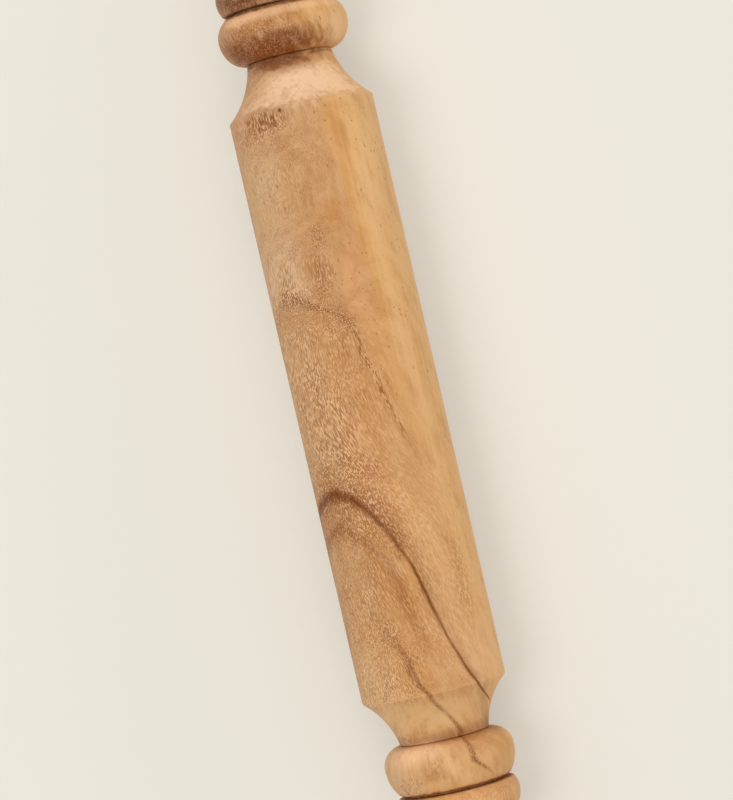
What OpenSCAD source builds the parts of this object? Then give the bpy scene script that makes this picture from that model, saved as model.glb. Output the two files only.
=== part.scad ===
// Turned wooden rolling pin with handles that turn on a steel rod.
// The pin lies along X, with the middle of its length on the origin. Lengths are in millimetres.

/* [Barrel] */
// Diameter of the barrel
barrel_d = 49; // [46:1:70]
// Length of the straight barrel, from shoulder to shoulder
barrel_len = 199; // [120:1:320]
// Width and height of the bevel that breaks each shoulder's corner
shoulder_bevel = 0.6; // [0.2:0.1:1.5]
// Length of the left cove, from the shoulder to the bead
cove_len_left = 16.4; // [13:0.1:24]
// Length of the right cove, from the shoulder to the bead
cove_len_right = 18; // [13:0.1:24]
// Diameter of the left neck, where the cove meets the bead
neck_d_left = 30.4; // [26:0.2:34]
// Diameter of the right neck, where the cove meets the bead
neck_d_right = 28.8; // [26:0.2:34]
// Slope of the coves where they meet the beads, in degrees
neck_slope = 9; // [2:1:16]

/* [Barrel beads] */
// Diameter over the barrel's left bead
bead_d_left = 44.2; // [40:0.1:46]
// Diameter over the barrel's right bead
bead_d_right = 44.1; // [40:0.1:46]
// Length of the left bead, from the neck to its crest
bead_rise_left = 7; // [5:0.1:12]
// Length of the right bead, from the neck to its crest
bead_rise_right = 9.2; // [5:0.1:12]
// Length of the left bead, from its crest to the gap
bead_fall_left = 9.5; // [5:0.1:12]
// Length of the right bead, from its crest to the gap
bead_fall_right = 7.3; // [5:0.1:12]
// Diameter of the barrel's left end, at the gap
bead_edge_d_left = 36.8; // [35:0.1:39]
// Diameter of the barrel's right end, at the gap
bead_edge_d_right = 35.6; // [35:0.1:39]
// Step from the barrel's edge at the gap in to the low boss on its end face
boss_step = 2.2; // [1:0.2:4]

/* [Handles] */
// Gap between the barrel's end and each handle
kerf = 0.75; // [0.5:0.05:1.5]
// Diameter over the left handle's bead
handle_bead_d_left = 41.8; // [40:0.1:44]
// Diameter over the right handle's bead
handle_bead_d_right = 40.1; // [40:0.1:44]
// Diameter of the left handle's inner end, at the gap
handle_edge_d_left = 39; // [34:0.1:39.5]
// Diameter of the right handle's inner end, at the gap
handle_edge_d_right = 37.2; // [34:0.1:39.5]
// Length of the left handle's bead, from the gap to its crest
handle_rise_left = 4.2; // [3:0.1:8]
// Length of the right handle's bead, from the gap to its crest
handle_rise_right = 4.8; // [3:0.1:8]
// Length of the handles' beads, from their crest to the neck
handle_fall = 10; // [6:0.1:14]
// Diameter of the neck behind a handle's bead
handle_neck_d = 21; // [19:0.5:26]
// Largest diameter of the grip
grip_d = 31; // [28:0.5:36]
// Diameter of the grip at its outer end, and of the cap's foot
grip_end_d = 27; // [25:0.5:32]
// Length of the grip, from the neck to the outer end
grip_len = 72; // [64:1:110]
// Distance of the grip's thickest place from the neck
grip_belly_at = 42; // [24:1:50]
// Width and height of the bevel where grip and cap meet
cap_bevel = 0.5; // [0.2:0.1:1]

/* [Rod and fasteners] */
// Diameter of the rod
rod_d = 8; // [6:0.5:9]
// Bevel on the rod's ends
rod_bevel = 0.8; // [0.3:0.1:1.5]
// How far the rod stands out of each nut
rod_tip = 2; // [1:0.5:4]
// Nut's width across its flats
nut_flats = 13; // [11:0.5:14]
// Thickness of the nut's hexagon
nut_t = 5.5; // [4:0.5:8]
// Thickness of the nut's locking collar
nut_collar_t = 2; // [1:0.5:3]
// How far the locking collar is set in from the hexagon's flats
nut_collar_step = 0.3; // [0.1:0.1:1]
// Diameter of the end washers
end_washer_d = 16; // [14:0.5:17]
// Thickness of the end washers
end_washer_t = 1.6; // [1:0.1:2.5]

/* [Bushes] */
// Diameter of the barrel's bushes
barrel_bush_d = 14; // [12:0.5:16]
// Length of the barrel's bushes behind their flanges
barrel_bush_len = 18; // [12:1:30]
// Diameter of the barrel bushes' flanges
barrel_flange_d = 20; // [18:0.5:24]
// Diameter of the handles' bushes
handle_bush_d = 12; // [11:0.5:13]
// Length of the handles' bushes behind their flanges
handle_bush_len = 14; // [8:1:18]
// Diameter of the handle bushes' flanges
handle_flange_d = 17.4; // [15:0.2:17.6]
// Thickness of every bush's flange
flange_t = 1.6; // [1:0.1:2.5]
// Diameter of the thrust washers between barrel and handles
thrust_washer_d = 19; // [16:0.5:24]

/* [End caps] */
// Diameter of a cap's tenon, and of the hole in the grip that takes it
tenon_d = 18; // [18:0.2:20]
// Length of a cap's tenon
tenon_len = 6; // [4:0.5:10]
// Height of a cap's dome over the grip's end
cap_height = 10; // [6:0.5:16]

/* [Fits] */
// Radial clearance of the rod in its bushes and washers
running_clearance = 0.05; // [0.03:0.01:0.1]
// Radial clearance of the rod in the bored wood
bore_clearance = 0.75; // [0.5:0.05:1.2]
// Glue line or press seat around tenons and bushes
seat_clearance = 0.02; // [0.01:0.01:0.05]
// End play on each side of a washer
end_play = 0.05; // [0.03:0.01:0.1]
// Gap between the barrel's bosses and the handles
boss_gap = 0.15; // [0.1:0.05:0.3]
// Radial room round a thrust washer inside its boss
washer_room = 0.5; // [0.3:0.1:0.8]
// Space between the rod's tip and the cap's tenon
tip_space = 1.5; // [0.5:0.1:3]

/* [Hidden] */
$fn = 96;
arc_steps = 14;
wave_steps = 10;
dome_steps = 12;
wood_light = "#c99a66";
wood_mid = "#c08f5c";
steel = "#a9adb2";
nylon = "#e6e2d6";

barrel_r = barrel_d / 2;
handle_neck_r = handle_neck_d / 2;
bore_r = rod_d / 2 + bore_clearance;
sliding_r = rod_d / 2 + running_clearance;
boss_bore_r = max(barrel_flange_d / 2 + seat_clearance, thrust_washer_d / 2 + washer_room);

// Lengths of the three wooden pieces, and of the pin without its caps, whose middle is the origin.
barrel_end_left = bead_fall_left + bead_rise_left + cove_len_left;
barrel_end_right = cove_len_right + bead_rise_right + bead_fall_right;
barrel_total = barrel_end_left + barrel_len + barrel_end_right;
handle_len_left = handle_rise_left + handle_fall + grip_len;
handle_len_right = handle_rise_right + handle_fall + grip_len;
grips_len = handle_len_left + kerf + barrel_total + kerf + handle_len_right;

barrel_x0 = -grips_len / 2 + handle_len_left + kerf;
barrel_x1 = barrel_x0 + barrel_total;
handle_x_left = barrel_x0 - kerf;
handle_x_right = barrel_x1 + kerf;

// Depths below a grip's outer face: the rod's tip, the nut, the washer and the floor of the nut's hole.
rod_tip_depth = tenon_len + tip_space;
nut_depth = rod_tip_depth + rod_tip;
washer_depth = nut_depth + nut_collar_t + nut_t;
socket_depth = washer_depth + end_washer_t + end_play + flange_t;
rod_x0 = -grips_len / 2 + rod_tip_depth;
rod_x1 = grips_len / 2 - rod_tip_depth;

// Outlines are lists of [radius, distance along the pin].
// Half a bead, from its crest down a quarter of an ellipse whose foot would lie at foot_r. The curve stops at
// edge_r, one length away from the crest, and that length is negative towards the left.
function bead_half(crest_x, crest_r, foot_r, edge_r, length) =
    let (
        height = crest_r - foot_r,
        last = acos((edge_r - foot_r) / height)
    )
    [for (i = [0:arc_steps])
        let (angle = last * i / arc_steps)
        [foot_r + height * cos(angle), crest_x + length * sin(angle) / sin(last)]];

// A cove from the shoulder to the neck: one arc, which meets the neck at the neck's slope.
function cove_points(start, length, neck_r) =
    let (
        height = barrel_r - neck_r,
        shoulder_slope = 2 * atan(height / length) - neck_slope,
        arc_r = length / (sin(shoulder_slope) - sin(neck_slope))
    )
    [for (i = [0:arc_steps])
        let (angle = shoulder_slope + (neck_slope - shoulder_slope) * i / arc_steps)
        [neck_r + arc_r * (cos(neck_slope) - cos(angle)),
         start + length - arc_r * (sin(angle) - sin(neck_slope))]];

function backwards(points) = [for (i = [len(points) - 1:-1:0]) points[i]];
function after_first(points) = [for (i = [1:len(points) - 1]) points[i]];

// One half of the barrel's outline, from its middle to the gap, measured along the pin from the middle.
function barrel_half(cove_len, neck_r, bead_r, rise, fall, edge_r) =
    let (
        shoulder_x = barrel_len / 2,
        crest_x = shoulder_x + cove_len + rise
    )
    concat(
        [[barrel_r, shoulder_x - shoulder_bevel]],
        [[barrel_r - shoulder_bevel / 2, shoulder_x]],
        after_first(cove_points(shoulder_x, cove_len, neck_r)),
        after_first(backwards(bead_half(crest_x, bead_r, neck_r, neck_r, -rise))),
        after_first(bead_half(crest_x, bead_r, neck_r, edge_r, fall))
    );

// A half wave that swells from one radius to another, for a share of its length between 0 and 1.
function swell(from_r, to_r, share) = from_r + (to_r - from_r) * (1 - cos(180 * share)) / 2;

// Turns what it is given, drawn as [radius, distance], about the pin's own axis.
module turned() {
    rotate([0, 90, 0])
        rotate_extrude()
            children();
}

// Sets a right-hand piece at its place, or its mirror image at the left-hand one.
module at_right(x) {
    translate([x, 0, 0]) children();
}

module at_left(x) {
    translate([x, 0, 0])
        mirror([1, 0, 0]) children();
}

// A ring from one distance to another.
module ring(outer_r, inner_r, from, to) {
    turned()
        translate([inner_r, from])
            square([outer_r - inner_r, to - from]);
}

// A flanged bush whose flange's outer face is at distance 0 and whose sleeve runs back from it.
module bush(sleeve_d, flange_d, sleeve_len) {
    ring(sleeve_d / 2, sliding_r, -flange_t - sleeve_len, 0);
    ring(flange_d / 2, sliding_r, -flange_t, 0);
}

// The seat that a bush needs in the wood, with its mouth at distance 0.
module bush_seat(sleeve_d, flange_d, sleeve_len) {
    ring(sleeve_d / 2 + seat_clearance, 0, -flange_t - sleeve_len - seat_clearance, 0);
    ring(flange_d / 2 + seat_clearance, 0, -flange_t - seat_clearance, kerf);
}

// A low boss on the barrel's end face at distance 0. It leaves only a thin gap to the handle, which keeps
// flour off the washer, and it sits back from the edge that it belongs to.
module end_boss(edge_r) {
    ring(edge_r - boss_step, boss_bore_r, -flange_t, kerf - boss_gap);
}

module barrel() {
    middle_x = barrel_x0 + barrel_end_left + barrel_len / 2;
    left = barrel_half(cove_len_left, neck_d_left / 2, bead_d_left / 2,
        bead_rise_left, bead_fall_left, bead_edge_d_left / 2);
    right = barrel_half(cove_len_right, neck_d_right / 2, bead_d_right / 2,
        bead_rise_right, bead_fall_right, bead_edge_d_right / 2);
    outline = concat(
        [[0, barrel_x0 - middle_x]],
        [for (point = backwards(left)) [point[0], -point[1]]],
        right,
        [[0, barrel_x1 - middle_x]]
    );
    color(wood_light)
        difference() {
            union() {
                translate([middle_x, 0, 0])
                    turned() polygon(outline);
                at_right(barrel_x1) end_boss(bead_edge_d_right / 2);
                at_left(barrel_x0) end_boss(bead_edge_d_left / 2);
            }
            ring(bore_r, 0, barrel_x0 - 1, barrel_x1 + 1);
            at_right(barrel_x1) bush_seat(barrel_bush_d, barrel_flange_d, barrel_bush_len);
            at_left(barrel_x0) bush_seat(barrel_bush_d, barrel_flange_d, barrel_bush_len);
        }
}

// The grip's outline behind the neck at distance start: it swells to the belly and thins out to the cap.
function grip_points(start) =
    let (
        end_r = grip_end_d / 2,
        taper_len = grip_len - grip_belly_at - cap_bevel
    )
    concat(
        [for (i = [1:wave_steps])
            let (share = i / wave_steps)
            [swell(handle_neck_r, grip_d / 2, share), start + grip_belly_at * share]],
        [for (i = [1:wave_steps])
            let (share = i / wave_steps)
            [swell(grip_d / 2, end_r, share), start + grip_belly_at + taper_len * share]],
        [[end_r - cap_bevel, start + grip_len]]
    );

// A handle whose inner face is at distance 0.
module handle(bead_r, edge_r, rise) {
    neck_x = rise + handle_fall;
    length = neck_x + grip_len;
    socket_floor = length - socket_depth;
    outer_seat_x = socket_floor - handle_bush_len - seat_clearance;
    outline = concat(
        [[0, 0]],
        backwards(bead_half(rise, bead_r, handle_neck_r, edge_r, -rise)),
        after_first(bead_half(rise, bead_r, handle_neck_r, handle_neck_r, handle_fall)),
        grip_points(neck_x),
        [[0, length]]
    );
    color(wood_mid)
        difference() {
            turned() polygon(outline);
            ring(bore_r, 0, -1, length);
            mirror([1, 0, 0]) bush_seat(handle_bush_d, handle_flange_d, handle_bush_len);
            ring(handle_bush_d / 2 + seat_clearance, 0, outer_seat_x, length);
            ring(tenon_d / 2 + seat_clearance, 0, socket_floor, length + 1);
        }
}

module handle_left() {
    at_left(handle_x_left) handle(handle_bead_d_left / 2, handle_edge_d_left / 2, handle_rise_left);
}

module handle_right() {
    at_right(handle_x_right) handle(handle_bead_d_right / 2, handle_edge_d_right / 2, handle_rise_right);
}

module axle_rod() {
    rod_r = rod_d / 2;
    color(steel)
        turned() polygon([
            [0, rod_x0], [rod_r - rod_bevel, rod_x0], [rod_r, rod_x0 + rod_bevel],
            [rod_r, rod_x1 - rod_bevel], [rod_r - rod_bevel, rod_x1], [0, rod_x1]
        ]);
}

module barrel_bush() {
    color(nylon) bush(barrel_bush_d, barrel_flange_d, barrel_bush_len);
}

module barrel_bush_left() {
    at_left(barrel_x0) barrel_bush();
}

module barrel_bush_right() {
    at_right(barrel_x1) barrel_bush();
}

module thrust_washer() {
    color(nylon) ring(thrust_washer_d / 2, sliding_r, end_play, kerf - end_play);
}

module thrust_washer_left() {
    at_left(barrel_x0) thrust_washer();
}

module thrust_washer_right() {
    at_right(barrel_x1) thrust_washer();
}

module handle_bush() {
    color(nylon) bush(handle_bush_d, handle_flange_d, handle_bush_len);
}

module handle_bush_inner_left() {
    at_left(handle_x_left) mirror([1, 0, 0]) handle_bush();
}

module handle_bush_inner_right() {
    at_right(handle_x_right) mirror([1, 0, 0]) handle_bush();
}

module handle_bush_outer_left() {
    at_left(-grips_len / 2 + socket_depth - flange_t) handle_bush();
}

module handle_bush_outer_right() {
    at_right(grips_len / 2 - socket_depth + flange_t) handle_bush();
}

module end_washer() {
    color(steel) ring(end_washer_d / 2, sliding_r, -end_washer_t, 0);
}

module end_washer_left() {
    at_left(-grips_len / 2 + washer_depth) end_washer();
}

module end_washer_right() {
    at_right(grips_len / 2 - washer_depth) end_washer();
}

// A hexagon nut with bevelled corners and a round locking collar, with its seat at distance 0.
module lock_nut() {
    corner_r = nut_flats / 2 / cos(30);
    corner_bevel = (corner_r - nut_flats / 2) * tan(30);
    color(steel)
        difference() {
            union() {
                intersection() {
                    rotate([0, 90, 0]) cylinder(r = corner_r, h = nut_t, $fn = 6);
                    turned() polygon([
                        [0, 0], [nut_flats / 2, 0], [corner_r, corner_bevel],
                        [corner_r, nut_t - corner_bevel], [nut_flats / 2, nut_t], [0, nut_t]
                    ]);
                }
                ring(nut_flats / 2 - nut_collar_step, 0, nut_t, nut_t + nut_collar_t);
            }
            ring(rod_d / 2 + seat_clearance, 0, -1, nut_t + nut_collar_t + 1);
        }
}

module lock_nut_left() {
    at_left(-grips_len / 2 + washer_depth) lock_nut();
}

module lock_nut_right() {
    at_right(grips_len / 2 - washer_depth) lock_nut();
}

// A turned cap whose dome stands on the grip's end at distance 0, with its tenon in the hole.
module end_cap() {
    cap_r = grip_end_d / 2;
    color(wood_light)
        turned() polygon(concat(
            [[0, -tenon_len], [tenon_d / 2, -tenon_len], [tenon_d / 2, 0], [cap_r - cap_bevel, 0]],
            [for (i = [0:dome_steps])
                let (angle = 90 * i / dome_steps)
                [cap_r * cos(angle), cap_bevel + (cap_height - cap_bevel) * sin(angle)]]
        ));
}

module end_cap_left() {
    at_left(-grips_len / 2) end_cap();
}

module end_cap_right() {
    at_right(grips_len / 2) end_cap();
}

barrel();
barrel_bush_left();
barrel_bush_right();
axle_rod();
thrust_washer_left();
thrust_washer_right();
handle_left();
handle_right();
handle_bush_inner_left();
handle_bush_inner_right();
handle_bush_outer_left();
handle_bush_outer_right();
end_washer_left();
end_washer_right();
lock_nut_left();
lock_nut_right();
end_cap_left();
end_cap_right();
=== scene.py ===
import math

import bmesh
import bpy
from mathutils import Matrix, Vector


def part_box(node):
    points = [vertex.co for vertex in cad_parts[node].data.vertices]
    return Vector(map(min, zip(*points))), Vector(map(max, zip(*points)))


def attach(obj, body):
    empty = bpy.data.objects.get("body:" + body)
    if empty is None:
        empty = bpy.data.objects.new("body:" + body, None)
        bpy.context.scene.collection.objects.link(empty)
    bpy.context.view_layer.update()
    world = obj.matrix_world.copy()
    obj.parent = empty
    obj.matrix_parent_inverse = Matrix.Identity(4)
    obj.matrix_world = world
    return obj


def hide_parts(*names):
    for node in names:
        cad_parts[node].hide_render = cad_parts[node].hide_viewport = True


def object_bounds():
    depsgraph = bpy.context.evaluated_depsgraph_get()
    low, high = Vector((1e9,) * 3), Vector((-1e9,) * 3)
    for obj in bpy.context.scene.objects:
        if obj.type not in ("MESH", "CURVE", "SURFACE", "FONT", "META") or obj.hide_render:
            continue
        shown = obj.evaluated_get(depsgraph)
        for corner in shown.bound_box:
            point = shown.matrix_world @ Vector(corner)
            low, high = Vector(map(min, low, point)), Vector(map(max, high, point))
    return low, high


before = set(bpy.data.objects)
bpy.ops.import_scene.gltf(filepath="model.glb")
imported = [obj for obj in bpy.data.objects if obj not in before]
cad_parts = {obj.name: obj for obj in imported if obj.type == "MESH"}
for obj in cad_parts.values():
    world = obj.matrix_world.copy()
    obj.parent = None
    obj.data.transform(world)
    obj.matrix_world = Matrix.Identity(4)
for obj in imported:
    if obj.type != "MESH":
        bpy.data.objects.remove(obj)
cad_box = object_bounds()
MM = 0.001

# The camera looks straight down on the pin from 1.2 m, through a long lens.
# The pin lies in the picture from lower right to upper left, 12.9 degrees off upright.
LEAN = math.radians(12.91)
EYE = Vector((-1.42, 0.39, 1206)) * MM
picture_up = Vector((math.cos(LEAN), -math.sin(LEAN), 0))
picture_right = Vector((-math.sin(LEAN), -math.cos(LEAN), 0))

lens = bpy.data.cameras.new("camera")
lens.sensor_width = 36
lens.lens = 162
lens.clip_start = 0.05
lens.clip_end = 20
camera = bpy.data.objects.new("camera", lens)
bpy.context.scene.collection.objects.link(camera)
camera.matrix_world.col[0].xyz = picture_right
camera.matrix_world.col[1].xyz = picture_up
camera.matrix_world.col[2].xyz = Vector((0, 0, 1))
camera.matrix_world.translation = EYE
bpy.context.scene.camera = camera

# The barrel is one piece of mango wood, turned between centres: a straight cylinder that breaks
# over a crisp shoulder into a cove at each end, then a round bead, with a fine line cut at the
# bead's foot. It is bored through and counterbored at both ends for a flanged bush.
BARREL_R = 24.5
BARREL_LENGTH = 199
SHOULDER_ROUND = 1.0
NECK_SLOPE = math.radians(9)
# The cut line's bottom lies a small share of its width from the bead.
LINE_WIDTH = 0.4
LINE_BOTTOM = 0.2
LINE_DEPTH = 0.5
# A low boss on each end face closes the gap to the handle behind its mouth.
BOSS_STEP = 2.2
BOSS_HEIGHT = 0.6
BORE_R = 4.75
# A seat's steps as depth and radius: first the bush's flange, then its sleeve.
BUSH_SEAT = ((1.62, 10.02), (19.62, 7.02))
LEFT_END = {"cove": 16.4, "neck_r": 15.2, "crest_r": 22.1, "rise": 7.0, "fall": 9.5,
            "edge_r": 18.4, "edge_round": 1.2}
RIGHT_END = {"cove": 18.0, "neck_r": 14.4, "crest_r": 22.05, "rise": 9.2, "fall": 7.3,
             "edge_r": 17.8, "edge_round": 0.5}
# Edges that turn by less than this are shaded smooth.
CREASE = math.radians(28)


def ellipse(x, r, length, height, start, end, steps=16):
    """Points (distance, radius) on an ellipse round (x, r), from one angle to another, in radians."""
    angles = [start + (end - start) * i / steps for i in range(steps + 1)]
    return [(x + length * math.sin(a), r + height * math.cos(a)) for a in angles]


def bead(foot_x, foot_r, crest_r, rise, fall, edge_r, edge_round):
    """A bead that climbs from its foot to the crest and falls away to the radius edge_r, where its end
    face begins round a small rounded edge."""
    height = crest_r - foot_r
    last = math.acos((edge_r - foot_r) / height)
    crest_x = foot_x + rise
    reach = fall / math.sin(last)
    climb = ellipse(crest_x, foot_r, rise, height, -math.pi / 2, 0)
    descent = ellipse(crest_x, foot_r, reach, height, 0, math.asin((fall - edge_round) / reach))
    face_r = edge_r - edge_round
    corner = ellipse(crest_x + fall - edge_round, face_r, edge_round, descent[-1][1] - face_r,
                     0, math.pi / 2, steps=5)
    return climb + descent[1:] + corner[1:]


def counterbore(end, steps):
    """The stepped hole in an end face at distance end, given as (depth, radius) from the mouth inwards."""
    points = []
    depth = 0
    for next_depth, radius in steps:
        points += [(end - depth, radius), (end - next_depth, radius)]
        depth = next_depth
    return points + [(end - depth, BORE_R)]


def barrel_end(cove, neck_r, crest_r, rise, fall, edge_r, edge_round):
    """Half of the barrel's outline, as distances from the shoulder outwards and radii."""
    shoulder_slope = 2 * math.atan((BARREL_R - neck_r) / cove) - NECK_SLOPE
    cove_r = cove / (math.sin(shoulder_slope) - math.sin(NECK_SLOPE))
    cove_x = cove + cove_r * math.sin(NECK_SLOPE)
    cove_centre = neck_r + cove_r * math.cos(NECK_SLOPE)
    corner = ellipse(-SHOULDER_ROUND / 2, BARREL_R - SHOULDER_ROUND, SHOULDER_ROUND, SHOULDER_ROUND,
                     0, shoulder_slope, steps=6)
    hollow = ellipse(cove_x, cove_centre, -cove_r, -cove_r, shoulder_slope, NECK_SLOPE, steps=20)
    line = [(cove - LINE_WIDTH, hollow[-1][1] + LINE_WIDTH * math.tan(NECK_SLOPE)),
            (cove - LINE_WIDTH * LINE_BOTTOM, neck_r - LINE_DEPTH)]
    end = cove + rise + fall
    boss_end = end + BOSS_HEIGHT
    boss = [(end, edge_r - BOSS_STEP), (boss_end, edge_r - BOSS_STEP), (boss_end, BUSH_SEAT[0][1])]
    return (corner + hollow[1:-1] + line + bead(cove, neck_r, crest_r, rise, fall, edge_r, edge_round)
            + boss + counterbore(end, BUSH_SEAT)[1:])


def turned(name, outline, steps=192):
    """A piece turned on the lathe: the closed outline, (x, radius) in mm, spun about the X axis."""
    shape = bmesh.new()
    corners = [shape.verts.new((x * MM, 0, r * MM)) for x, r in outline]
    for a, b in zip(corners, corners[1:]):
        shape.edges.new((a, b))
    if outline[0][1] > 0:
        shape.edges.new((corners[-1], corners[0]))
    bmesh.ops.spin(shape, geom=shape.verts[:] + shape.edges[:], cent=(0, 0, 0), axis=(1, 0, 0),
                   angle=2 * math.pi, steps=steps, use_merge=True)
    bmesh.ops.remove_doubles(shape, verts=shape.verts, dist=0.001 * MM)
    bmesh.ops.recalc_face_normals(shape, faces=shape.faces)
    for face in shape.faces:
        face.smooth = True
    for edge in shape.edges:
        edge.smooth = edge.calc_face_angle(0) < CREASE
    mesh = bpy.data.meshes.new(name)
    shape.to_mesh(mesh)
    shape.free()
    piece = bpy.data.objects.new(name, mesh)
    bpy.context.scene.collection.objects.link(piece)
    return piece


barrel_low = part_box("barrel")[0].x / MM
left_end = barrel_end(**LEFT_END)
right_end = barrel_end(**RIGHT_END)
left_shoulder = barrel_low + BOSS_HEIGHT + LEFT_END["fall"] + LEFT_END["rise"] + LEFT_END["cove"]
right_shoulder = left_shoulder + BARREL_LENGTH
barrel = turned("turned_barrel", [(left_shoulder - d, r) for d, r in reversed(left_end)]
                + [(right_shoulder + d, r) for d, r in right_end])


def srgb(code):
    """A colour written as #rrggbb, as linear red, green, blue and alpha."""
    parts = [int(code[i:i + 2], 16) / 255 for i in (1, 3, 5)]
    return [p / 12.92 if p <= 0.04045 else ((p + 0.055) / 1.055) ** 2.4 for p in parts] + [1]


def add(tree, kind, inputs, stops=(), **settings):
    """Adds a shader node and returns it. An input's value is a number, a socket, or a node whose first
    output is meant. Stops are the places and colours of a colour ramp."""
    node = tree.nodes.new("ShaderNode" + kind)
    for name, value in settings.items():
        setattr(node, name, value)
    for number, (place, colour) in enumerate(stops):
        if number >= len(node.color_ramp.elements):
            node.color_ramp.elements.new(1)
        node.color_ramp.elements[number].position = place
        node.color_ramp.elements[number].color = colour
    sockets = [s for s in node.inputs if s.enabled]
    named = inputs.items() if isinstance(inputs, dict) else enumerate(inputs)
    for key, value in named:
        socket = sockets[key] if isinstance(key, int) else next(s for s in sockets if s.name == key)
        if isinstance(value, bpy.types.Node):
            value = next(s for s in value.outputs if s.enabled)
        if isinstance(value, bpy.types.NodeSocket):
            tree.links.new(value, socket)
        else:
            socket.default_value = value
    return node


# Growth rings stand on edge in the blank, lean along it and waver, so that the turned surface cuts
# them into nested arches. A ring's number is its distance in mm across the rings.
ACROSS_RINGS = (0, 0.830, 0.558)
RING_LEAN = 0.36
RING_WAVE = 2.22
RING_WAVE_LENGTH = 69.5
RING_WAVE_START = 35.5
# A ripple rides on that wave. It grows away from its middle, and fades towards the sapwood.
RIPPLE_LENGTH = 27.2
RIPPLE_START = -99
RIPPLE_MIDDLE = -35
RIPPLE_REACH = (40, 65)
RIPPLE_HEIGHT = (0.3, 2.0)
RIPPLE_EDGE = (-9, -2)
# Fibres swing from side to side along the blank, as interlocked grain does, and bend past a knot.
SWING_LEAN = 0.11
SWING = 4.55
SWING_LENGTH = 220
BEND = 4.4
BEND_AT = -25
BEND_LENGTH = 20


def fibre_space(tree, place):
    """Straightens the blank: x runs along its fibres, and y and z tell one fibre from the next, in mm."""
    x, y, z = add(tree, "SeparateXYZ", [place]).outputs
    swing = add(tree, "Math", [x, 2 * math.pi / SWING_LENGTH], operation="MULTIPLY")
    swing = add(tree, "Math", [swing], operation="COSINE")
    bend = add(tree, "Math", [x, 1 / BEND_LENGTH, -BEND_AT / BEND_LENGTH], operation="MULTIPLY_ADD")
    bend = add(tree, "Math", [bend], operation="TANH")
    sideways = add(tree, "Math", [x, SWING_LEAN], operation="MULTIPLY")
    sideways = add(tree, "Math", [swing, SWING, sideways], operation="MULTIPLY_ADD")
    sideways = add(tree, "Math", [bend, BEND, sideways], operation="MULTIPLY_ADD")

    wave = 2 * math.pi / RING_WAVE_LENGTH
    wave = add(tree, "Math", [x, wave, -wave * RING_WAVE_START], operation="MULTIPLY_ADD")
    wave = add(tree, "Math", [wave], operation="SINE")
    ripple = 2 * math.pi / RIPPLE_LENGTH
    ripple = add(tree, "Math", [x, ripple, -ripple * RIPPLE_START], operation="MULTIPLY_ADD")
    ripple = add(tree, "Math", [ripple], operation="COSINE")
    outwards = add(tree, "Math", [x, RIPPLE_MIDDLE], operation="SUBTRACT")
    outwards = add(tree, "Math", [outwards], operation="ABSOLUTE")
    ripple_height = add(tree, "MapRange", [outwards, *RIPPLE_REACH, *RIPPLE_HEIGHT])
    ripple_edge = add(tree, "MapRange", [y, *RIPPLE_EDGE, 0, 1])
    ripple_height = add(tree, "Math", [ripple_height, ripple_edge], operation="MULTIPLY")
    lift = add(tree, "Math", [x, RING_LEAN], operation="MULTIPLY")
    lift = add(tree, "Math", [wave, RING_WAVE, lift], operation="MULTIPLY_ADD")
    lift = add(tree, "Math", [ripple, ripple_height, lift], operation="MULTIPLY_ADD")
    lift = add(tree, "Math", [sideways, -ACROSS_RINGS[1], lift], operation="MULTIPLY_ADD")
    upwards = add(tree, "Math", [lift, ACROSS_RINGS[2]], operation="DIVIDE")
    across = add(tree, "Math", [y, sideways], operation="SUBTRACT")
    above = add(tree, "Math", [z, upwards], operation="SUBTRACT")
    return add(tree, "CombineXYZ", [x, across, above])


# The lowest and the highest ring number in the blank.
RING_LOW = -60
RING_HIGH = 80


def ring_share(number):
    """Where a ring number lies in the blank, from 0 at the lowest to 1 at the highest."""
    return (number - RING_LOW) / (RING_HIGH - RING_LOW)


# Over places of this size the rings wander by this much, and they sag at the pin's +Y edge. In mm.
WANDER_SIZE = 16
WANDER = 0.6
SAG_EDGE = (18, 24.5)
SAG = 1.6


def growth_rings(tree, place, fibre, y):
    """The ring number at a place, and how far it wanders there as the tree grew, in mm."""
    ring = add(tree, "VectorMath", [fibre, ACROSS_RINGS], operation="DOT_PRODUCT").outputs["Value"]
    wander = add(tree, "TexNoise", {"Vector": place, "Scale": 1 / WANDER_SIZE, "Detail": 2,
                                    "Roughness": 0.5})
    wander = add(tree, "MapRange", [wander, 0.2, 0.8, -WANDER, WANDER])
    ring = add(tree, "Math", [ring, wander], operation="ADD")
    sag = add(tree, "MapRange", [y, *SAG_EDGE, 0, SAG])
    return add(tree, "Math", [ring, sag], operation="SUBTRACT"), wander


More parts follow.
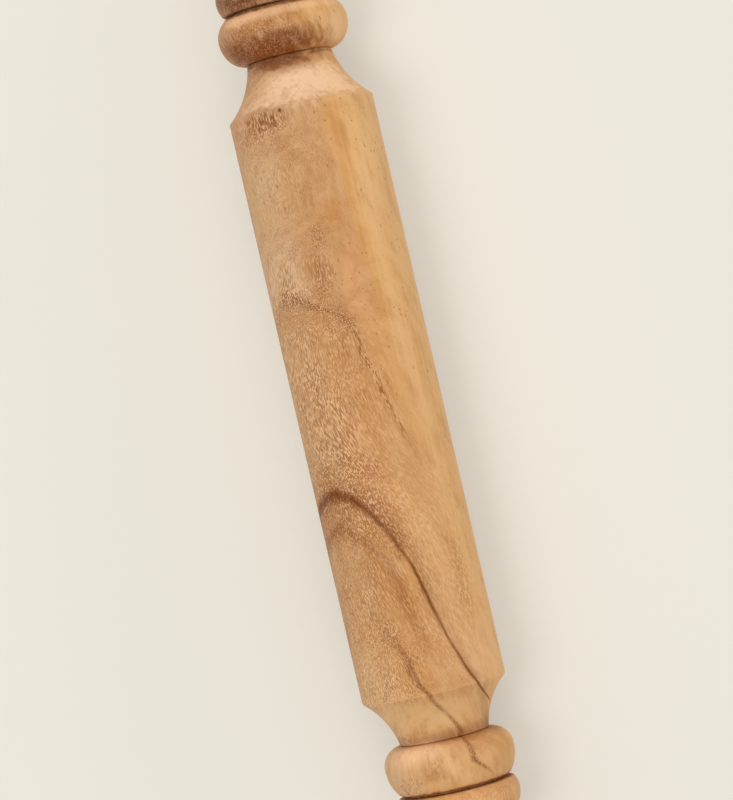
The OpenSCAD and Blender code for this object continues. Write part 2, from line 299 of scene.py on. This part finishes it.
# Heartwood colours by ring number: on the pin's +Y side, on its top, and near the sapwood. They blend
# into one another between these places in y.
SIDE_EDGE = (7, 15)
NEAR_SAP_EDGE = (2, -6)
SIDE_COLOURS = [
    (-40, "#BC8960"), (-12, "#BE8D64"), (-3, "#CA9E70"), (2, "#CCA278"), (5, "#CBA078"), (5.6, "#D9B088"),
    (6.2, "#CBA078"), (7.5, "#C99C70"), (9, "#C09068"), (13, "#BE8B5A"), (21, "#CA9868"), (27, "#C69466"),
    (30, "#B98657"), (32.5, "#AF774A"), (34.3, "#8A5426"), (36, "#A26A3A"), (38.6, "#B88454"),
    (40.3, "#94582A"), (41.7, "#B6814F"), (43, "#C39160"), (46, "#BF8E5D"), (50, "#C8925F"),
    (56, "#D3A472"), (70, "#CC9E70")]
TOP_COLOURS = [
    (-45, "#C08C5C"), (-18, "#C69564"), (-9, "#BC8956"), (-2, "#C5935F"), (1.5, "#C08B58"),
    (5, "#B57F4C"), (7, "#B67D48"), (12, "#BB8149"), (18, "#C88F57"), (24, "#C48750"), (29, "#BC804A"),
    (33, "#9E6232"), (36, "#BA7E42"), (38.2, "#B98044"), (40.1, "#A8692F"), (42, "#BA8044"),
    (44.5, "#C48B51"), (48, "#C88C50"), (53, "#CA9050"), (70, "#C68C50")]
NEAR_SAP_COLOURS = [
    (-45, "#C4945E"), (-24, "#C79462"), (-12, "#C6925F"), (-4, "#C5905C"), (1, "#D09A62"), (6, "#C89258"),
    (12, "#CA955D"), (20, "#CD985F"), (24, "#D6A16B"), (29, "#D29D69"), (32.5, "#BC8855"), (34.3, "#B57F4C"),
    (36, "#CE9963"), (43, "#CA945E"), (70, "#C68E58")]


def heartwood(tree, share, y):
    """The heartwood's colour, from the colours of its rings."""
    side, top, near_sap = [
        add(tree, "ValToRGB", [share], stops=[(ring_share(number), srgb(code)) for number, code in colours])
        for colours in (SIDE_COLOURS, TOP_COLOURS, NEAR_SAP_COLOURS)]
    sideways = add(tree, "MapRange", [y, *SIDE_EDGE, 0, 1], interpolation_type="SMOOTHSTEP")
    colour = add(tree, "Mix", [sideways, top, side], data_type="RGBA")
    away = add(tree, "MapRange", [y, *NEAR_SAP_EDGE, 0, 1], interpolation_type="SMOOTHSTEP")
    return add(tree, "Mix", [away, colour, near_sap], data_type="RGBA")


# Sapwood lies on the -Y side of the blank, where its edge leans and wavers. Its colours run across
# its depth, from the first place to the second.
SAP_LEAN = -0.055
SAP_WANDER = 0.8
SAP_EDGE = (-9.5, -13.5)
SAP_DEPTH = (-10, -30)
SAP_COLOURS = [
    (0.05, "#CD965A"), (0.16, "#D19A5C"), (0.3, "#DAA66A"), (0.39, "#DDA96D"), (0.5, "#D9A568"),
    (0.62, "#DAA76B"), (1, "#D9A870")]


def with_sapwood(tree, colour, x, y, wander):
    """Lays sapwood over the colour. Returns the new colour, and where sapwood lies, from 0 to 1."""
    depth = add(tree, "Math", [x, SAP_LEAN, y], operation="MULTIPLY_ADD")
    depth = add(tree, "Math", [wander, SAP_WANDER, depth], operation="MULTIPLY_ADD")
    share = add(tree, "MapRange", [depth, *SAP_DEPTH, 0, 1])
    sapwood = add(tree, "ValToRGB", [share], stops=[(at, srgb(code)) for at, code in SAP_COLOURS])
    sap = add(tree, "MapRange", [depth, *SAP_EDGE, 0, 1], interpolation_type="SMOOTHSTEP")
    return add(tree, "Mix", [sap, colour, sapwood], data_type="RGBA"), sap


# How strongly the vessel lines show, by ring number. They are weaker near the sapwood, and patchy.
VESSEL_FADE = (-8, 12)
PATCH_SIZE = 7
VESSEL_STRENGTH = [
    (-45, 0.4), (-20, 0.35), (3, 0.35), (8, 0.85), (12, 0.75), (16, 0.6), (22, 0.95), (33, 1.0), (37, 0.75),
    (42, 0.5), (48, 0.8), (70, 0.8)]


def vessel_strength(tree, place, share, y):
    """How strongly the vessel lines show at a place. Also returns the patches."""
    strength = add(tree, "ValToRGB", [share], stops=[
        (ring_share(number), (amount, amount, amount, 1)) for number, amount in VESSEL_STRENGTH])
    fade = add(tree, "MapRange", [y, *VESSEL_FADE, 0.3, 1])
    strength = add(tree, "Math", [strength, fade], operation="MULTIPLY")
    patchy = add(tree, "TexNoise", {"Vector": place, "Scale": 1 / PATCH_SIZE, "Detail": 2})
    patchy = add(tree, "MapRange", [patchy, 0.38, 0.62, 0.6, 1.15])
    return add(tree, "Math", [strength, patchy], operation="MULTIPLY"), patchy


# Clouded places in the figure, and places of painted shade and painted sheen, in the order in which they
# are laid: middle and reach in mm, colour, how far it covers, and how much it adds to the vessel lines.
CLOUDS_AND_PAINTED_LIGHT = [
    # A rough brown patch and a pit at the right shoulder.
    ((95.3, 12, 20), (5, 9.5, 9), "#86450E", 0.9, 0.4),
    ((97.7, 7, 23.2), (1.1, 1.0, 1.4), "#5A2C08", 1.0, -0.5),
    ((93, 14, 18), (8, 12, 12), "#B98552", 0.35, 0.4),
    # The pale right cove with a painted sheen, painted shade at its foot, and the dark bead past it.
    # Pale wood, made paler with a painted sheen where the cove faces +X.
    ((105.4, -4, 17), (9.6, 28, 17), "#F2C89E", 0.95, -0.5),
    ((108.3, 13, 12), (6.5, 7, 9), "#C89664", 0.5, 0.4),
    # Painted shade under the bead, at the cove's foot.
    ((113.6, 1, 14), (5, 14, 10), "#A87242", 0.6, -0.4),
    # A painted highlight on the cove wall just past the shoulder.
    ((101, -2, 14), (2.2, 26, 16), "#F2C89E", 0.5, -0.3),
    # Painted shade at the bead's foot, on the cove and in the cut line.
    ((113.9, 3, 15), (2.6, 12, 14), "#7C4820", 0.72, 0.1),
    ((115.3, 6, 0), (1.0, 30, 30), "#6A360E", 0.9, 0),
    # The bead's brown wood, darkened further with painted shade on its side that faces -X.
    ((119.6, 6, 15), (8.5, 28, 20), "#7C3B06", 1.0, 0.3),
    ((127.6, 4, 18), (4.5, 17, 14), "#B4783E", 0.85, 0.4),
    ((131, 14, 16), (4, 9, 12), "#DCA672", 0.7, 0.2),
    ((139, 8, 14), (8, 30, 22), "#6A3410", 0.95, 0.5),
    # A painted highlight on the bead's rim by the gap, where it faces +X.
    ((130.4, 2, 16), (2.4, 27, 14), "#EFBE92", 0.62, -0.3),
    ((121, -17, 12), (6, 5, 10), "#EABC8C", 0.6, -0.3),
    # Patches and short streaks along the barrel.
    ((87, -10.8, 22.5), (20, 3.8, 6), "#C28446", 0.5, -0.2),
    ((77, -17, 16), (22, 6, 12), "#E8BA80", 0.35, 0),
    ((60.5, -1.5, 24), (6, 10, 6), "#C2864A", 0.7, 0),
    ((54.5, 4, 24), (5, 3.5, 5), "#AC723C", 0.7, 0.3),
    ((42, 5.3, 24), (9, 4.5, 6), "#A66C38", 0.7, 0.4),
    ((38.5, -4.5, 24), (15, 7, 7), "#D39A66", 0.7, -0.3),
    ((0.8, -5, 24), (1.5, 0.7, 2), "#7A3C08", 0.65, -0.5),
    ((-59, -1, 24), (8, 2.2, 4), "#D39A5A", 0.8, -0.3),
    ((-92, -19, 15), (15, 8, 12), "#E4B480", 0.6, -0.3),
    ((-66, -17, 17.5), (24, 3.5, 8), "#C68F56", 0.4, 0.3),
    # The golden left cove, painted shade at its foot, and the pale bead past it, with a painted sheen.
    ((-107, 4, 15), (10.3, 27, 18), "#DCB078", 0.92, -0.9),
    # A painted sheen on the bead's side that faces +X.
    ((-119, 11, 17), (6, 17, 12), "#F4C496", 0.9, -0.5),
    # Painted shade in the neck at the bead's foot.
    ((-115.6, 0, 0), (3.6, 24, 24), "#7E4618", 0.62, -0.2),
    ((-125, 0, 18), (6, 22, 12), "#D9A66E", 0.7, -0.4),
    ((-125.5, 0, 20), (4, 4, 6), "#EFC088", 0.7, -0.4),
    ((-122, 20, 8), (9, 8, 14), "#D8AC80", 0.6, -0.8),
    # Painted shade at the bead's foot, on its -Y side.
    ((-117.6, -7, 12), (2.2, 15, 12), "#A8703C", 0.6, 0.2),
    ((-122, -17, 14), (10, 7, 10), "#CA9458", 0.7, -0.3),
    ((-127, 4.9, 21), (4, 5, 5), "#B07840", 0.5, 0.2),
    ((-130.8, 0, 18), (3.4, 20, 12), "#E8B87E", 0.5, -0.8),
    ((-140, 0, 17), (6.5, 26, 20), "#E2A66C", 0.8, 0.3),
    # Painted shade on the rims of both gaps, deepening the gaps' own shade.
    ((-133.45, 0, 0), (1.2, 40, 40), "#964600", 0.92, 0),
    ((132.5, 0, 0), (0.95, 40, 40), "#743200", 0.94, 0)]
# The size of their ragged edges' grain in mm, along the fibre and across it.
RAGGED_SIZE = (9, 2.5, 2.5)


def with_clouds_and_painted_light(tree, colour, strength, place, fibre):
    """Lays the clouded places, and the painted shade and painted sheen among them, over the colour, each an
    ellipsoid with a ragged edge. Returns the new colour and the new strength of the vessel lines."""
    ragged = add(tree, "Mapping", {"Vector": fibre, "Scale": [1 / size for size in RAGGED_SIZE]})
    ragged = add(tree, "TexNoise", {"Vector": ragged, "Scale": 1, "Detail": 3, "Roughness": 0.6})
    ragged = add(tree, "MapRange", [ragged, 0.25, 0.75, -0.3, 0.3])
    for middle, reach, cloud, cover, more_vessels in CLOUDS_AND_PAINTED_LIGHT:
        local = add(tree, "VectorMath", [place, middle], operation="SUBTRACT")
        local = add(tree, "VectorMath", [local, reach], operation="DIVIDE")
        distance = add(tree, "VectorMath", [local], operation="LENGTH").outputs["Value"]
        distance = add(tree, "Math", [distance, ragged], operation="ADD")
        inside = add(tree, "MapRange", [distance, 1.1, 0.3, 0, 1], interpolation_type="SMOOTHSTEP")
        covered = add(tree, "Math", [inside, cover], operation="MULTIPLY")
        colour = add(tree, "Mix", [covered, colour, srgb(cloud)], data_type="RGBA")
        strength = add(tree, "Math", [inside, more_vessels, strength], operation="MULTIPLY_ADD")
    return colour, strength


# Fine streaks and broader mottle: their sizes in mm, along the fibre and across it.
STREAK_SIZE = (40, 1.6, 1.6)
MOTTLE_SIZE = (12, 5, 5)
DARK_STREAK = "#A86A38"
PALE_STREAK = "#E2B482"


def with_streaks(tree, colour, sap, place, fibre):
    """Streaks the colour along the fibre, with straight streaks in the sapwood, and mottles it softly.
    Returns the new colour and the mottle."""
    bent = add(tree, "Mapping", {"Vector": fibre, "Scale": [1 / size for size in STREAK_SIZE]})
    straight = add(tree, "Mapping", {"Vector": place, "Scale": [1 / size for size in STREAK_SIZE]})
    streak = add(tree, "TexNoise", {"Vector": bent, "Scale": 1, "Detail": 3})
    straight_streak = add(tree, "TexNoise", {"Vector": straight, "Scale": 1, "Detail": 3})
    streak = add(tree, "Mix", [sap, streak, straight_streak], data_type="FLOAT")
    mottle = add(tree, "Mapping", {"Vector": fibre, "Scale": [1 / size for size in MOTTLE_SIZE]})
    mottle = add(tree, "TexNoise", {"Vector": mottle, "Scale": 1, "Detail": 3})
    uneven = add(tree, "Math", [mottle, 0.6], operation="MULTIPLY")
    uneven = add(tree, "Math", [streak, 0.4, uneven], operation="MULTIPLY_ADD")
    darker = add(tree, "MapRange", [uneven, 0.5, 0.32, 0, 0.35])
    paler = add(tree, "MapRange", [uneven, 0.5, 0.68, 0, 0.35])
    colour = add(tree, "Mix", [darker, colour, srgb(DARK_STREAK)], data_type="RGBA")
    colour = add(tree, "Mix", [paler, colour, srgb(PALE_STREAK)], data_type="RGBA")
    return colour, mottle


# A vessel is a tube about a fifth of a millimetre across. These are drawn about twice as coarse, so
# that they show. The wood of the tree's youth, in the highest rings, has finer ones, and finer ones
# are drawn past the shoulders too.
VESSEL_SIZE = (2.2, 0.44, 0.44)
YOUNG_VESSEL_SIZE = (1.3, 0.36, 0.36)
YOUNG_RINGS = (42, 47)
PAST_SHOULDERS = ((99, 104), (-99, -105))


def vessels(tree, fibre, ring, x):
    """The vessels' pattern: high where their tubes of gum are, and low between them."""
    vessel = add(tree, "Mapping", {"Vector": fibre, "Scale": [1 / size for size in VESSEL_SIZE]})
    vessel = add(tree, "TexNoise", {"Vector": vessel, "Scale": 1, "Detail": 1, "Roughness": 0.4,
                                    "Distortion": 0.4})
    young_vessel = add(tree, "Mapping", {"Vector": fibre, "Scale": [1 / size for size in YOUNG_VESSEL_SIZE]})
    young_vessel = add(tree, "TexNoise", {"Vector": young_vessel, "Scale": 1, "Detail": 1, "Roughness": 0.4})
    young = add(tree, "MapRange", [ring, *YOUNG_RINGS, 0, 1])
    for shoulder in PAST_SHOULDERS:
        near_end = add(tree, "MapRange", [x, *shoulder, 0, 1])
        young = add(tree, "Math", [young, near_end], operation="MAXIMUM")
    return add(tree, "Mix", [young, vessel, young_vessel], data_type="FLOAT")


# The way in which the fibres run, on the whole.
FIBRE_WAY = (0.93, 0.12, 0.35)
VESSEL_GUM = "#EFC595"
VESSEL_WALL = "#5E2C0C"
# The dark bead at the +X end holds less gum.
DARK_BEAD = (112, 118)


def with_vessels(tree, colour, strength, vessel, normal, x):
    """Draws the vessel lines on the colour. They are long tubes filled with pale gum, and only dots
    where the surface cuts across the fibre."""
    steep = add(tree, "VectorMath", [normal, FIBRE_WAY], operation="DOT_PRODUCT")
    steep = add(tree, "Math", [steep.outputs["Value"]], operation="ABSOLUTE")
    lengthwise = add(tree, "MapRange", [steep, 0.5, 0.85, 1.0, 0.4], interpolation_type="SMOOTHSTEP")
    strength = add(tree, "Math", [strength, lengthwise], operation="MULTIPLY", use_clamp=True)
    gum = add(tree, "MapRange", [vessel, 0.52, 0.62, 0, 0.6], interpolation_type="SMOOTHSTEP")
    gum = add(tree, "Math", [gum, strength], operation="MULTIPLY")
    dark_bead = add(tree, "MapRange", [x, *DARK_BEAD, 1, 0.5])
    gum = add(tree, "Math", [gum, dark_bead], operation="MULTIPLY")
    wall = add(tree, "MapRange", [vessel, 0.5, 0.38, 0, 0.43], interpolation_type="SMOOTHSTEP")
    wall = add(tree, "Math", [wall, strength], operation="MULTIPLY")
    colour = add(tree, "Mix", [gum, colour, srgb(VESSEL_GUM)], data_type="RGBA")
    return add(tree, "Mix", [wall, colour, srgb(VESSEL_WALL)], data_type="RGBA")


# Dark growth lines: the ring number that each follows, at places along the blank; then its half width
# in mm, its darkness, how far the vessels break it, and four places along an axis of the blank,
# between which the line starts, is full, fades and has gone.
GROWTH_LINE = "#743600"
GROWTH_LINES = [
    ([(-15, 7.9), (10, 8.6), (17, 8.7), (27, 7.8), (31, 9.4), (35, 8.8), (41, 8.9)], 0.6, 0.85, 1.0, "Y",
     (-13, -6, 18, 22)),
    ([(-109, 28.2), (-104.5, 31.7), (-101, 34.3), (-97, 34.5), (-90, 34.1), (-76, 33.8), (-68, 33.9),
      (-60, 34.7), (-51, 34.7), (-44, 33.8), (-35, 33.8), (-24, 34.5)], 0.48, 1.0, 0.1, "X",
     (-110, -107, 60, 70)),
    ([(-111, 48.8), (-102, 48.7), (-92, 49.4), (-84, 48.6), (-76, 46.9), (-68, 46.5)], 0.5, 0.85, 0.4,
     "X", (-110, -105, -91, -68)),
    ([(-131, 47.1), (-125, 51.8), (-121.5, 51.0), (-118, 50), (-115, 47.7), (-111, 48.8)],
     0.75, 0.85, 0.5, "X", (-133, -128, -110, -105)),
    ([(-60, -24), (60, -24)], 0.45, 0.6, 0.5, "Z", (-60, -50, -10, 0)),
    ([(-60, -38), (60, -38)], 0.4, 0.8, 0.3, "Z", (-60, -50, -10, 0))]
# The lines widen between these places in y, and are followed between these places in x.
LINE_SPREAD = (-3, 12)
BLANK_LOW = -140
BLANK_HIGH = 70


def growth_lines(tree, axes, share, vessel, mottle):
    """How dark the growth lines are at a place, broken up by the vessels. They widen to twice their
    width towards the +Y side."""
    dark = 0.0
    spread = add(tree, "MapRange", [axes["Y"], *LINE_SPREAD, 1, 0.5])
    pale_vessel = add(tree, "MapRange", [vessel, 0.42, 0.56, 0, 1])
    along_blank = add(tree, "MapRange", [axes["X"], BLANK_LOW, BLANK_HIGH, 0, 1])
    for path, half_width, darkness, broken, axis, (start, full, fade, gone) in GROWTH_LINES:
        stops = []
        for x, number in path:
            level = ring_share(number)
            stops.append(((x - BLANK_LOW) / (BLANK_HIGH - BLANK_LOW), (level, level, level, 1)))
        middle = add(tree, "ValToRGB", [along_blank], stops=stops)
        away = add(tree, "Math", [share, middle], operation="SUBTRACT")
        away = add(tree, "Math", [away], operation="ABSOLUTE")
        away = add(tree, "Math", [away, RING_HIGH - RING_LOW], operation="MULTIPLY")
        away = add(tree, "Math", [away, spread], operation="MULTIPLY")
        line = add(tree, "MapRange", [away, 0, half_width * 2, darkness, 0], interpolation_type="SMOOTHSTEP")
        for ends in ((start, full, 0, 1), (fade, gone, 1, 0)):
            lasts = add(tree, "MapRange", [axes[axis], *ends])
            line = add(tree, "Math", [line, lasts], operation="MULTIPLY")
        left = add(tree, "Math", [pale_vessel, -broken, 1], operation="MULTIPLY_ADD")
        line = add(tree, "Math", [line, left], operation="MULTIPLY")
        dark = add(tree, "Math", [dark, line], operation="MAXIMUM")
    weaker = add(tree, "MapRange", [mottle, 0.42, 0.6, 1, 0.8])
    return add(tree, "Math", [dark, weaker], operation="MULTIPLY")


# Open pores stand in the lowest rings, this far apart in mm along the fibre and across it.
PORE_SIZE = (4.5, 1.7, 1.7)
PORE_RINGS = (12, 2)
OPEN_PORE = "#96581C"


def open_pores(tree, fibre, ring, patchy):
    """Where open pores lie: a few to the square centimetre, in patches."""
    pore = add(tree, "Mapping", {"Vector": fibre, "Scale": [1 / size for size in PORE_SIZE]})
    pore = add(tree, "TexVoronoi", {"Vector": pore, "Scale": 1})
    pore = add(tree, "MapRange", [pore, 0.09, 0.2, 0.7, 0])
    often = add(tree, "MapRange", [patchy, 0.77, 0.98, 0.1, 1])
    pore = add(tree, "Math", [pore, often], operation="MULTIPLY")
    open_grained = add(tree, "MapRange", [ring, *PORE_RINGS, 0, 1])
    return add(tree, "Math", [pore, open_grained], operation="MULTIPLY")


def mango_wood(name, shift):
    """Oiled mango wood, sanded fine. Golden sapwood meets tan heartwood with dark growth lines, and
    pale vessel lines fleck it, with painted shade and painted sheen at the ends. Worn oil leaves a low
    sheen. The shift in mm picks a part of the blank."""
    material = bpy.data.materials.new(name)
    material.use_nodes = True
    tree = material.node_tree
    coordinates = add(tree, "TexCoord", [])
    place = add(tree, "Mapping", {"Vector": coordinates.outputs["Object"], "Location": shift,
                                  "Scale": (1 / MM, 1 / MM, 1 / MM)})
    x, y, z = add(tree, "SeparateXYZ", [place]).outputs
    fibre = fibre_space(tree, place)
    ring, wander = growth_rings(tree, place, fibre, y)
    share = add(tree, "MapRange", [ring, RING_LOW, RING_HIGH, 0, 1])
    colour = heartwood(tree, share, y)
    colour, sap = with_sapwood(tree, colour, x, y, wander)
    strength, patchy = vessel_strength(tree, place, share, y)
    colour, strength = with_clouds_and_painted_light(tree, colour, strength, place, fibre)
    colour, mottle = with_streaks(tree, colour, sap, place, fibre)
    vessel = vessels(tree, fibre, ring, x)
    colour = with_vessels(tree, colour, strength, vessel, coordinates.outputs["Normal"], x)
    dark = growth_lines(tree, {"X": x, "Y": y, "Z": z}, share, vessel, mottle)
    colour = add(tree, "Mix", [dark, colour, srgb(GROWTH_LINE)], data_type="RGBA")
    pore = open_pores(tree, fibre, ring, patchy)
    colour = add(tree, "Mix", [pore, colour, srgb(OPEN_PORE)], data_type="RGBA")

    shader = tree.nodes["Principled BSDF"]
    tree.links.new(colour.outputs[2], shader.inputs["Base Color"])
    shader.inputs["Roughness"].default_value = 0.5
    shader.inputs["IOR"].default_value = 1.5
    shader.inputs["Specular IOR Level"].default_value = 0.25
    bump = add(tree, "Bump", {"Strength": 0.5, "Distance": 0.05 * MM, "Height": vessel})
    tree.links.new(bump.outputs[0], shader.inputs["Normal"])
    return material


barrel_wood = mango_wood("oiled_mango_wood", (0, 0, 0))
barrel.data.materials.append(barrel_wood)
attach(barrel, "barrel")
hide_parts("barrel")

# The handles are turned from the same blank, so the grain runs on. Each has a bead against the
# barrel's, a slim neck and a grip that swells to its middle, is bored for the rod and its two
# bushes, and turns on the rod.
GRIP_SWELL = 42
GRIP_LENGTH = 72
NECK_R = 10.5
GRIP_R = 15.5
GRIP_END_R = 13.5
CAP_BEVEL = 0.5
HANDLE_FALL = 10
HANDLE_EDGE = 0.9
SOCKET_DEPTH = 20.25
INNER_SEAT = ((1.62, 8.72), (15.62, 6.02))
OUTER_SEAT = ((SOCKET_DEPTH, 9.02), (SOCKET_DEPTH + 14.02, 6.02))
# Which way each handle points, then its bead: rise, crest radius and the radius of its inner edge.
HANDLES = [("left", -1, 4.2, 20.9, 19.5), ("right", 1, 4.8, 20.05, 18.6)]


def swell(x, length, from_r, to_r, steps=14):
    """A half wave from one radius to another."""
    shares = [i / steps for i in range(steps + 1)]
    return [(x + length * s, from_r + (to_r - from_r) * (1 - math.cos(math.pi * s)) / 2) for s in shares]


def handle_outline(rise, crest_r, edge_r):
    """A handle's closed outline, from its inner face outwards."""
    neck_x = rise + HANDLE_FALL
    end = neck_x + GRIP_LENGTH
    # The bead is drawn from the neck back to the inner face, and then reversed.
    back = bead(0, NECK_R, crest_r, HANDLE_FALL, rise, edge_r, HANDLE_EDGE)
    face = [(neck_x - d, r) for d, r in reversed(back)]
    line = [(neck_x + LINE_WIDTH * LINE_BOTTOM, NECK_R - LINE_DEPTH), (neck_x + LINE_WIDTH, NECK_R)]
    belly = neck_x + GRIP_SWELL
    grip = swell(neck_x, GRIP_SWELL, NECK_R, GRIP_R)[1:]
    taper = swell(belly, GRIP_LENGTH - GRIP_SWELL - CAP_BEVEL, GRIP_R, GRIP_END_R)[1:]
    inside = [(-x, r) for x, r in reversed(counterbore(0, INNER_SEAT))]
    return (face + line + grip + taper + [(end, GRIP_END_R - CAP_BEVEL)]
            + counterbore(end, OUTER_SEAT) + inside)


handle_wood = mango_wood("oiled_mango_wood_handles", (0, 0, 0))
for side, way, rise, crest_r, edge_r in HANDLES:
    low, high = (corner.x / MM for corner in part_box("handle_" + side))
    inner_face = high if way < 0 else low
    handle = turned("turned_handle_" + side,
                    [(inner_face + way * d, r) for d, r in handle_outline(rise, crest_r, edge_r)])
    handle.data.materials.append(handle_wood)
    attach(handle, "handle_" + side)
    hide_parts("handle_" + side)

# The end caps are low domes of the same wood. A tenon on each is glued into the grip's socket and
# hides the rod's nut.
CAP_HEIGHT = 10
TENON_R = 9
TENON_LENGTH = 6
# The caps come from another part of the blank, this far off in mm.
CAP_BLANK = (90, 40, 60)

cap_wood = mango_wood("oiled_mango_wood_caps", CAP_BLANK)
for side, way in (("left", -1), ("right", 1)):
    low, high = (corner.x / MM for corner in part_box("end_cap_" + side))
    foot = high - TENON_LENGTH if way < 0 else low + TENON_LENGTH
    dome = ellipse(CAP_BEVEL, 0, CAP_HEIGHT - CAP_BEVEL, GRIP_END_R, 0, math.pi / 2, steps=24)
    dome[-1] = (CAP_HEIGHT, 0)
    outline = [(-TENON_LENGTH, 0), (-TENON_LENGTH, TENON_R), (0, TENON_R),
               (0, GRIP_END_R - CAP_BEVEL)] + dome
    cap = turned("turned_cap_" + side, [(foot + way * d, r) for d, r in outline])
    cap.data.materials.append(cap_wood)
    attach(cap, "handle_" + side)
    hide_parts("end_cap_" + side)


# The rod runs through the whole pin. It is bright drawn steel, and so are the washer and the lock nut
# at each end, which keep the handles on and lie hidden under the caps.
# The draw's lines in mm, along the rod and across it. Real ones are finer, and wouldn't show.
DRAW_SIZE = (50, 0.4, 0.4)


def drawn_steel():
    """Bright drawn steel: a satin grey metal with fine lines along the draw."""
    material = bpy.data.materials.new("bright_drawn_steel")
    material.use_nodes = True
    tree = material.node_tree
    shader = tree.nodes["Principled BSDF"]
    coordinates = add(tree, "TexCoord", [])
    lines = add(tree, "Mapping", {"Vector": coordinates.outputs["Object"],
                                  "Scale": [1 / (size * MM) for size in DRAW_SIZE]})
    lines = add(tree, "TexNoise", {"Vector": lines, "Scale": 1, "Detail": 2})
    colour = add(tree, "ValToRGB", [lines], stops=[(0.35, srgb("#9DA1A6")), (0.65, srgb("#B9BDC2"))])
    tree.links.new(colour.outputs[0], shader.inputs["Base Color"])
    rough = add(tree, "MapRange", [lines, 0.3, 0.7, 0.22, 0.38])
    tree.links.new(rough.outputs[0], shader.inputs["Roughness"])
    shader.inputs["Metallic"].default_value = 1
    return material


steel = drawn_steel()
for node in ("axle_rod", "end_washer_left", "end_washer_right", "lock_nut_left", "lock_nut_right"):
    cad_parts[node].data.materials.clear()
    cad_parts[node].data.materials.append(steel)


# The bushes carry the rod in the barrel and in the handles, and a thrust washer keeps each handle off
# the barrel. All are moulded nylon, which runs dry on steel. Its clouds are about 7 mm wide and the
# mould's grain 0.17 mm, here per metre.
NYLON_CLOUDS = 150
MOULD_GRAIN = 6000


def moulded_nylon():
    """Natural nylon: off-white, slightly cloudy, with the faint grain of a spark-eroded mould."""
    material = bpy.data.materials.new("moulded_nylon")
    material.use_nodes = True
    tree = material.node_tree
    shader = tree.nodes["Principled BSDF"]
    coordinates = add(tree, "TexCoord", [])
    cloud = add(tree, "TexNoise", {"Vector": coordinates.outputs["Object"], "Scale": NYLON_CLOUDS,
                                   "Detail": 2})
    colour = add(tree, "ValToRGB", [cloud], stops=[(0.3, srgb("#DEDACB")), (0.7, srgb("#ECE8DC"))])
    tree.links.new(colour.outputs[0], shader.inputs["Base Color"])
    grain = add(tree, "TexNoise", {"Vector": coordinates.outputs["Object"], "Scale": MOULD_GRAIN})
    bump = add(tree, "Bump", {"Strength": 0.3, "Distance": 0.02 * MM, "Height": grain})
    tree.links.new(bump.outputs[0], shader.inputs["Normal"])
    shader.inputs["Roughness"].default_value = 0.42
    shader.inputs["IOR"].default_value = 1.53
    return material


nylon = moulded_nylon()
for name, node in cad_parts.items():
    if "bush" in name or "thrust" in name:
        node.data.materials.clear()
        node.data.materials.append(nylon)

# A pale floor of warm white paper. In the picture part of its colour is its own, so that the pin's
# shadow on it stays as faint as in a bright room.
FLOOR_SIZE = 6
PAPER = srgb("#EAE6DA")
OWN_LIGHT = 0.42
shape = bmesh.new()
bmesh.ops.create_grid(shape, x_segments=1, y_segments=1, size=FLOOR_SIZE / 2)
bmesh.ops.translate(shape, verts=shape.verts, vec=(0, 0, cad_box[0].z))
mesh = bpy.data.meshes.new("floor")
shape.to_mesh(mesh)
shape.free()
floor = bpy.data.objects.new("floor", mesh)
bpy.context.scene.collection.objects.link(floor)
paper = bpy.data.materials.new("warm_white_paper")
paper.use_nodes = True
tree = paper.node_tree
paper_shader = tree.nodes["Principled BSDF"]
paper_shader.inputs["Base Color"].default_value = PAPER
paper_shader.inputs["Roughness"].default_value = 0.9
paper_shader.inputs["Specular IOR Level"].default_value = 0.1
ray = add(tree, "LightPath", []).outputs
seen = add(tree, "Math", [ray["Is Camera Ray"], ray["Is Glossy Ray"]], operation="MAXIMUM")
seen = add(tree, "Math", [seen, OWN_LIGHT], operation="MULTIPLY")
own_colour = add(tree, "Emission", {"Color": PAPER, "Strength": 1})
surface = add(tree, "MixShader", [seen, paper_shader, own_colour])
tree.links.new(surface.outputs[0], tree.nodes["Material Output"].inputs["Surface"])
floor.data.materials.append(paper)

# Four soft lamps, and the room fills the rest. Each lamp's level is its share of the light that
# falls on the floor, where 1 shows a colour as it is written.
# Name, heading from +X towards +Y and height in degrees, distance and size in metres, level.
LAMPS = [
    ("window", 5, 38, 1.5, 1.2, 0.22), ("softbox", 95, 66, 1.3, 0.6, 0.28),
    ("far_reflector", 180, 40, 1.5, 0.9, 0.1), ("near_reflector", -90, 15, 1.3, 0.6, 0.06)]
ROOM_LEVEL = 0.45
for name, heading, height, distance, size, level in LAMPS:
    lamp = bpy.data.lights.new(name, "AREA")
    lamp.shape = "DISK"
    lamp.size = size
    lamp.energy = level * (math.pi * distance) ** 2 / math.sin(math.radians(height))
    light = bpy.data.objects.new(name, lamp)
    flat = math.cos(math.radians(height))
    way = Vector((flat * math.cos(math.radians(heading)), flat * math.sin(math.radians(heading)),
                  math.sin(math.radians(height))))
    light.location = way * distance
    light.rotation_mode = "QUATERNION"
    light.rotation_quaternion = way.to_track_quat("Z", "Y")
    bpy.context.scene.collection.objects.link(light)

room = bpy.data.worlds.new("room")
room.use_nodes = True
room.node_tree.nodes["Background"].inputs["Color"].default_value = (1, 1, 1, 1)
room.node_tree.nodes["Background"].inputs["Strength"].default_value = ROOM_LEVEL
bpy.context.scene.world = room
bpy.context.scene.view_settings.view_transform = "Standard"
